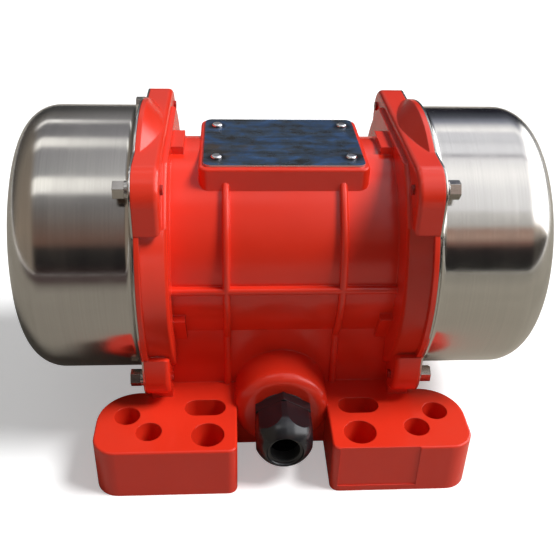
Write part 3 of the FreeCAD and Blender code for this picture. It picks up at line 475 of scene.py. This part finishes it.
bright_screw = plain_steel("plated_screw", (0.50, 0.47, 0.43), 0.2, sprayed_within=0.05)
print("screw nodes:", len(bright_screw.node_tree.nodes))

# %% [markdown]
# ## Moulded and rubber finishes
# The gland is glossy black nylon and the seals are matt rubber. Both get a fine relief and a
# slow change of gloss, and differ in how rough they are.

# %% Plastics
def moulded(name, colour, roughness):
    finish = Finish(name, colour, roughness)
    finish.soft_edges(0.0003)
    fine, slow = finish.noise(500, 3), finish.noise(70, 4)
    finish.colour(finish.mottled(slow, *shades(colour, 0.7, 1.35)))
    finish.roughness(slow, roughness * 0.8, roughness * 1.2)
    finish.bump(fine, 0.00001)
    return finish.material


nylon = moulded("black_nylon", (0.010, 0.010, 0.012), 0.24)
rubber = moulded("matt_rubber", (0.02, 0.02, 0.02), 0.7)
print("moulded finishes:", nylon.name, "and", rubber.name)

# %% [markdown]
# ## The blank plate
# The plate is printed metal: slate blue with darker, warmer clouds, streaks along its length and
# a fine scatter of specks where the print has worn. Round each rivet its colour is darker, in a
# ring that fades outwards. It carries no words. Its rim is left bare and bright.

# %% Plate print
RIVET_X, RIVET_Y = 0.0278, 0.0173  # how far the rivets stand from the plate's middle
DARK_RING_START, DARK_RING_END = 0.0030, 0.0046  # distance from a rivet over which the darker ring fades


def dark_ring_round_rivets(finish):
    """Grey factor by the distance from the nearest rivet: |x| and |y| fold the four into one."""
    x, y, z = finish.axes()
    across = finish.maths("SUBTRACT", finish.maths("ABSOLUTE", x), RIVET_X)
    along = finish.maths("SUBTRACT", finish.maths("ABSOLUTE", y), RIVET_Y)
    clear = finish.spread(finish.length(across, along), DARK_RING_START, DARK_RING_END)
    return finish.ramp(clear, [(0.0, 0.22), (1.0, 1.0)])


def plate_print():
    finish = Finish("plate_print", (0.05, 0.09, 0.18), 0.32, Metallic=0.75)
    clouds = finish.noise(85, 6, finish.place((1, 1.6, 1)), 0.65)
    base = finish.ramp(clouds, [(0.34, (0.035, 0.034, 0.033)), (0.47, (0.052, 0.085, 0.130)),
                                (0.62, (0.045, 0.115, 0.260)), (0.75, (0.085, 0.150, 0.250))])
    warm = finish.ramp(finish.noise(48, 5, rough=0.6), [(0.56, 0.0), (0.70, 1.0)])
    tint = finish.blend(warm, base, (0.090, 0.074, 0.062))
    specks = finish.ramp(finish.noise(2600, 2), [(0.70, 0.0), (0.74, 1.0)])
    worn = finish.blend(specks, tint, (0.45, 0.50, 0.58))
    streaks = finish.ramp(finish.noise(260, 3, finish.place((0.12, 1, 1)), 0.6),
                          [(0.36, 0.72), (0.64, 1.25)])
    # the colour is made darker in a ring round each rivet, and streaked along the plate
    shaded = finish.tinted(finish.tinted(worn, dark_ring_round_rivets(finish)), streaks)
    upwards = finish.axes(finish.add("NewGeometry").outputs["True Normal"])[2]
    top = finish.ramp(upwards, [(0.90, 0.0), (0.97, 1.0)])
    finish.colour(finish.blend(top, (0.62, 0.60, 0.58), shaded))
    finish.roughness(clouds, 0.22, 0.42)
    finish.bump(finish.noise(1400, 3), 0.000006)
    return finish.material


blank_plate = plate_print()
print("plate nodes:", len(blank_plate.node_tree.nodes))

# %% [markdown]
# ## Finishes for the pieces
# One table says which finish each material slot of the frame gets, and the loop puts it on the
# solids. The inner pieces get a finish as well: they show when a cover is taken away.

# %% Dress the frame
FINISHES = {
    "red_paint": enamel,
    "stainless_cover": steel_cup,
    "cover_screw": bright_screw,
    "washer": plain_steel("plated_washer", (0.5, 0.48, 0.45), 0.26),
    "seal_rubber": rubber,
    "cast_aluminium": plain_steel("cast_aluminium", (0.52, 0.52, 0.50), 0.45, 350, 0.00003),
    "black_screw": plain_steel("black_oxide", (0.035, 0.035, 0.04), 0.38, metallic=0.6),
    "bearing_steel": plain_steel("bearing_steel", (0.55, 0.55, 0.55), 0.15),
    "turned_steel": plain_steel("turned_steel", (0.5, 0.5, 0.5), 0.28),
    "weight_steel": plain_steel("weight_steel", (0.22, 0.22, 0.23), 0.45, 250, 0.00004),
    "plate_metal": blank_plate,
    "rivet_metal": plain_steel("rivet_metal", (0.75, 0.75, 0.77), 0.16),
    "gland_plastic": nylon,
    "yoke_steel": plain_steel("yoke_steel", (0.2, 0.2, 0.21), 0.5),
    "magnet": plain_steel("ferrite", (0.08, 0.08, 0.09), 0.6, metallic=0.2),
    "holder_plastic": moulded("brown_phenolic", (0.2, 0.1, 0.05), 0.45),
    "carbon": moulded("carbon", (0.03, 0.03, 0.035), 0.55),
    "spring_steel": plain_steel("spring_steel", (0.28, 0.3, 0.38), 0.3),
    "lamination": plain_steel("lamination", (0.28, 0.29, 0.31), 0.4, 1500, 0.00002),
    "copper_wire": plain_steel("copper_wire", (0.45, 0.13, 0.05), 0.3, 800, 0.00005),
    "copper_bar": plain_steel("copper_bar", (0.75, 0.35, 0.2), 0.25),
}
slot_of = {part["node"]: part["material_slot"] for part in frame["record"]["subparts"]}
for name, node in nodes.items():
    node.data.materials.clear()
    node.data.materials.append(FINISHES[slot_of[name]])
print("finishes:", len(FINISHES))

# %% [markdown]
# ## Drawn covers
# Each cover is a cup pressed from one sheet: a faintly domed end, a wide bend, a straight wall,
# a small flare and a flat flange. The flange is round, with four corners that carry the screws.
# A lathe profile makes the cup, and its last stretch is pushed out to the flange's own outline.

# %% Flange outline
COVER_RIM = 61.5  # the round part of the flange
LUG_HALF = 54.0  # half the square that the corners lie on
LUG_ROUND = 12.0  # the corners' radius


def flange_outline(angle):
    """Distance from the shaft to the flange's edge in each direction.

    It is the larger of the rim's radius and the reach of a square of half-width LUG_HALF with
    rounded corners. Towards a corner the reach is the far crossing of the ray with the corner's
    circle: the projection of the circle's centre on the ray, plus the half-chord there.
    """
    across, up = np.abs(np.cos(angle)), np.abs(np.sin(angle))
    wide, narrow = np.maximum(across, up), np.minimum(across, up)
    centre = LUG_HALF - LUG_ROUND
    flat_reach = LUG_HALF / wide
    along = centre * (wide + narrow)
    inside = np.maximum(along ** 2 - 2 * centre ** 2 + LUG_ROUND ** 2, 0)
    corner_reach = along + np.sqrt(inside)
    square = np.where(flat_reach * narrow <= centre, flat_reach, corner_reach)
    return np.maximum(square, COVER_RIM)


print("flange reach, side and corner:", flange_outline(np.radians([0, 45])).round(2))

# %% [markdown]
# ## The cup
# The sheet's outside and inside are two profiles that run in parallel, joined by a rounded edge.
# The end isn't flat: a faint dome keeps a reflection from lying still on it. Sizes are in
# millimetres, as a drawing gives them, and the finished array is turned into metres.

# %% Cover
FLANGE_PLACE = 59.0  # from the motor's middle
SHEET = 0.9
CUP_DEPTH, CUP_RADIUS = 52.0, 58.5
OUTER_BEND_TIP, INNER_BEND_TIP = 50.83, 49.9  # where the end's slope would meet the wall
BEND, FLARE, MOUTH_ROUND = 15.0, 3.0, 0.4
MOUTH = 60.0  # inner edge of the flange's back
DOME_REACH, DOME_RADIUS, DOME_DROP = 42, 44, 0.7
EDGE = ((SHEET, 0.25), (0.82, 0.06), (0.65, 0), (0.25, 0), (0.08, 0.06), (0.0, 0.25))
CUP_TURN_STEPS = 480


def domed_end(depth, radii):
    """Points (s, r) of the end: depth less DOME_DROP * (r / DOME_RADIUS) squared."""
    return [(depth - DOME_DROP * (r / DOME_RADIUS) ** 2, r, 0) for r in radii]


def cup_profile():
    """Profile (s, r) of the whole sheet, and the share of each point in the flange's outline."""
    radii = np.linspace(0, DOME_REACH, 8)
    wall = CUP_RADIUS - SHEET
    outside = rounded_profile(domed_end(CUP_DEPTH, radii) + [
        (OUTER_BEND_TIP, CUP_RADIUS, BEND), (SHEET, CUP_RADIUS, FLARE), (SHEET, COVER_RIM)], 14)
    inside = rounded_profile([(0.0, MOUTH), (0.0, wall, MOUTH_ROUND),
                              (INNER_BEND_TIP, wall, BEND - SHEET)]
                             + domed_end(CUP_DEPTH - SHEET, radii[::-1]), 10)
    edge = np.array([(s, COVER_RIM - inset) for s, inset in EDGE])
    share = np.zeros(len(outside) - 1 + len(edge) + len(inside))
    share[len(outside) - 1:len(outside) - 1 + len(edge)] = 1
    return np.concatenate([outside[:-1], edge, inside]), share


def cover_piece(name, toward):
    """Cup with its flange plane at s = 0; s grows away from the motor.

    Each profile point is spun about the shaft at the radius r + share * (outline - COVER_RIM),
    so a point with share 1 follows the flange's outline and one with share 0 stays round.
    """
    profile, share = cup_profile()
    angle = np.linspace(0, 2 * math.pi, CUP_TURN_STEPS, endpoint=False) - math.pi / 2
    radius = profile[None, :, 1] + share * (flange_outline(angle)[:, None] - COVER_RIM)
    x = toward * (FLANGE_PLACE + np.broadcast_to(profile[None, :, 0], radius.shape))
    y = radius * np.cos(angle)[:, None]
    z = SHAFT_HEIGHT / MM + radius * np.sin(angle)[:, None]
    piece = closed_ends(grid_piece(name, np.stack([x, y, z], -1) * MM))
    piece.data.materials.append(steel_cup)
    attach(piece, "motor_housing")
    return piece


for side, toward in (("left", -1), ("right", 1)):
    cup = cover_piece(side + "_drawn_cover", toward)
    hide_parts(side + "_cover")
    print(cup.name, "has", len(cup.data.polygons), "faces")

# %% [markdown]
# ## Floor
# The floor is a wide flat sheet of white paper, and the sky beyond it is as white, so no horizon
# shows. The camera sees the paper a little lifted, so that shadows stay soft, but the paper
# throws back only the light of a greyer sheet, which keeps the undersides of the motor dark.

# %% Floor
FLOOR_RADIUS = 12.0
POLE = 0.001  # a round sheet starts this far from its middle


def round_sheet(name, height, radius, count):
    """Flat ring of points (height, r) about the vertical, from POLE out to the radius."""
    run = np.array([(height, POLE), (height, radius)])
    return grid_piece(name, turned_points(run, count, (0, 0, 1), (1, 0, 0), (0, 0, 0)))


floor = round_sheet("floor", 0, FLOOR_RADIUS, 96)
paper = Finish("pale_paper", (0.93, 0.93, 0.93), 0.9)
seen = paper.seen_rays()
white = paper.mottled(paper.noise(3, 2), (0.92, 0.92, 0.92), (0.94, 0.94, 0.94))
paper.colour(paper.blend(seen, (0.42, 0.42, 0.41), white))
paper.shader.inputs["Emission Strength"].default_value = 0.35
paper.link(paper.blend(seen, (0, 0, 0), (1, 1, 1)), paper.shader.inputs["Emission Color"])
floor.data.materials.append(paper.material)
print("floor reaches", FLOOR_RADIUS, "m")

# %% [markdown]
# ## A tent for the reflections
# Polished steel shows whatever stands round it, so a studio hangs cards and lamps round it. Here
# they are bands on one wide tube about the shaft, which only reflections see. The angle round
# the tube picks the band from a table, and the place along it picks the table: a brown wall at
# the left end, three strip lamps before it, a plain middle, and a window that grows brighter
# towards the right end.

# %% Bands of the tent
LAST_ANGLE = 100  # degrees each way from straight up, with the front positive
LEFT_BANDS = [
    (-100, (0.05, 0.05, 0.05)), (-74, (0.06, 0.06, 0.06)), (-62, (0.20, 0.19, 0.18)),
    (-54, (0.24, 0.24, 0.25)), (-52.5, (1.90, 1.90, 1.90)), (-49, (1.90, 1.90, 1.90)),
    (-47, (0.20, 0.20, 0.22)), (-30, (0.28, 0.28, 0.30)), (-27.5, (1.80, 1.80, 1.78)),
    (-20, (1.80, 1.80, 1.76)), (-17, (0.38, 0.38, 0.41)), (9, (0.42, 0.43, 0.45)),
    (12, (1.90, 1.90, 1.85)), (22.5, (1.85, 1.85, 1.83)), (26, (0.36, 0.36, 0.37)),
    (36, (0.22, 0.21, 0.21)), (50, (0.19, 0.14, 0.12)), (64, (0.22, 0.12, 0.09)),
    (69, (0.03, 0.03, 0.03)), (82, (0.015, 0.013, 0.015)), (88, (0.04, 0.02, 0.02)),
    (100, (0.07, 0.04, 0.04))]
MIDDLE_BANDS = [
    (-100, (0.05, 0.05, 0.05)), (-74, (0.12, 0.12, 0.12)), (-54, (0.36, 0.36, 0.38)),
    (-50, (0.80, 0.80, 0.82)), (-46, (0.32, 0.32, 0.35)), (-30, (0.42, 0.42, 0.46)),
    (-23, (1.05, 1.06, 1.08)), (-14, (0.58, 0.58, 0.62)), (6, (0.74, 0.75, 0.78)),
    (17, (1.15, 1.16, 1.18)), (28, (0.30, 0.30, 0.32)), (44, (0.30, 0.28, 0.28)),
    (60, (0.24, 0.15, 0.13)), (70, (0.03, 0.03, 0.03)), (84, (0.02, 0.018, 0.02)),
    (100, (0.07, 0.04, 0.04))]
RIGHT_BANDS = [
    (-100, (0.02, 0.02, 0.02)), (-76, (0.02, 0.02, 0.03)), (-62, (0.10, 0.11, 0.14)),
    (-52, (0.40, 0.43, 0.55)), (-44, (1.40, 1.42, 1.50)), (-39, (1.95, 1.95, 2.00)),
    (-37, (1.15, 1.18, 1.30)), (-27, (1.18, 1.22, 1.34)), (-25, (1.02, 1.05, 1.15)),
    (-22, (1.30, 1.33, 1.45)), (-12.5, (1.40, 1.44, 1.56)), (-10.5, (0.55, 0.55, 0.62)),
    (-9, (0.60, 0.60, 0.68)), (-7, (1.40, 1.42, 1.52)), (8, (1.75, 1.76, 1.82)),
    (22, (1.38, 1.40, 1.48)), (38, (1.24, 1.26, 1.32)), (41, (0.92, 0.92, 0.93)),
    (51, (0.74, 0.73, 0.72)), (55, (0.52, 0.33, 0.27)), (61, (0.66, 0.46, 0.38)),
    (66, (0.30, 0.16, 0.13)), (70, (0.035, 0.03, 0.03)), (90, (0.02, 0.02, 0.02)),
    (100, (0.06, 0.05, 0.05))]
LEFT_END = [
    (-100, (0.06, 0.05, 0.05)), (-70, (0.12, 0.11, 0.10)), (-30, (0.30, 0.26, 0.22)),
    (50, (0.38, 0.31, 0.25)), (100, (0.30, 0.26, 0.22))]
RIGHT_END = [
    (-100, (0.03, 0.03, 0.03)), (-76, (0.20, 0.20, 0.22)), (-66, (4.50, 4.50, 4.60)),
    (40, (4.50, 4.50, 4.60)), (52, (0.80, 0.70, 0.62)), (68, (0.10, 0.09, 0.08)),
    (100, (0.06, 0.05, 0.05))]


STRETCHES = (((-1.4, -0.9), LEFT_BANDS), ((-0.62, -0.38), MIDDLE_BANDS),
             ((0.05, 0.50), RIGHT_BANDS), ((1.25, 1.70), RIGHT_END))  # where each table takes over
print("tent tables:", 1 + len(STRETCHES))

# %% [markdown]
# ## Hanging the tent
# The tube glows by itself, so its material is only an Emission. It casts no shadow and gives no
# light: only reflections see it, and it stays out of the exported model.

# %% Tent
TENT_RADIUS, TENT_HALF = 2.0, 6.0


def only_reflected(piece):
    """Leave the piece out of everything but reflections."""
    piece.visible_camera = piece.visible_diffuse = piece.visible_shadow = False
    piece.visible_transmission = piece.visible_volume_scatter = False


def tent_material():
    """Emission whose colour follows the angle round the tube, one table for each stretch.

    The angle is that of the point (z, -y), so it is 0 straight up and grows towards the front.
    """
    finish = Finish("tent_bands", (0, 0, 0), 1.0)
    x, y, z = finish.axes()
    angle = finish.maths("ARCTAN2", finish.maths("MULTIPLY", y, -1), z)
    turn = finish.spread(angle, math.radians(-LAST_ANGLE), math.radians(LAST_ANGLE))

    def bands(table):
        return finish.ramp(turn, [((degrees + LAST_ANGLE) / (2 * LAST_ANGLE), shade)
                                  for degrees, shade in table])

    colour = bands(LEFT_END)
    for (start, end), table in STRETCHES:
        colour = finish.blend(finish.spread(x, start, end, smooth=True), colour, bands(table))
    glow = finish.add("Emission")
    finish.link(colour, glow.inputs["Color"])
    finish.link(glow.outputs[0], finish.tree.nodes["Material Output"].inputs["Surface"])
    return finish.material


tube = np.array([(-TENT_HALF, 0.01), (-TENT_HALF, TENT_RADIUS),
                 (TENT_HALF, TENT_RADIUS), (TENT_HALF, 0.01)])
tent = grid_piece("tent", turned_points(tube, 128, (1, 0, 0), (0, 1, 0), (0, 0, 0)))
tent.data.materials.append(tent_material())
only_reflected(tent)
print("tent is", 2 * TENT_RADIUS, "m across and", 2 * TENT_HALF, "m long")

# %% [markdown]
# ## Felt for the covers' undersides
# The lower half of each cover shows the floor. In a lived-in workshop that floor is grey, and a
# felt gives it: warmer and paler on the right, and dark beyond half a metre on the left.

# %% Felt
FELT_HEIGHT, FELT_RADIUS = 0.0003, 1.9
felt = round_sheet("felt", FELT_HEIGHT, FELT_RADIUS, 64)
wool = Finish("grey_felt", (0.36, 0.34, 0.30), 1.0)
x, y, z = wool.axes()
sideways = wool.spread(x, -0.10, 0.12)
far = wool.spread(y, -0.30, -0.62)
left_felt = wool.blend(far, (0.37, 0.345, 0.30), (0.07, 0.045, 0.045))
right_felt = wool.blend(far, (0.46, 0.43, 0.365), (0.38, 0.36, 0.31))
patches = wool.ramp(wool.noise(7, 3), [(0.35, (0.88, 0.87, 0.86)), (0.65, (1.0, 1.0, 1.0))])
wool.colour(wool.tinted(wool.blend(sideways, left_felt, right_felt), patches))
felt.data.materials.append(wool.material)
only_reflected(felt)
print("felt reaches", FELT_RADIUS, "m")

# %% [markdown]
# ## Light
# One wide soft sun stands high on the right, so the tops and the faces towards it are bright
# and the right flange shades the barrel. A dim white sky fills the rest, and the camera and
# shiny or clear things see that sky as plain white.

# %% Sun and sky
sun_data = bpy.data.lights.new("window_sun", "SUN")
sun_data.energy = 3.5
sun_data.angle = math.radians(22)
sun = bpy.data.objects.new("window_sun", sun_data)
sun.rotation_mode = "QUATERNION"
sun.rotation_quaternion = Vector((-0.60, 0.08, -0.80)).to_track_quat("-Z", "Y")
sun.visible_glossy = False
bpy.context.scene.collection.objects.link(sun)

SKY_LIGHT, SKY_SEEN = 0.15, 1.0
world = bpy.data.worlds.new("studio")
bpy.context.scene.world = world
world.use_nodes = True
sky = Nodes(world.node_tree)
background = sky.tree.nodes["Background"]
background.inputs["Color"].default_value = (1, 1, 1, 1)
sky.link(sky.spread(sky.seen_rays(), 0.0, 1.0, SKY_LIGHT, SKY_SEEN), background.inputs["Strength"])
print("sun of", sun_data.energy, "and a sky of", SKY_LIGHT)

# %% [markdown]
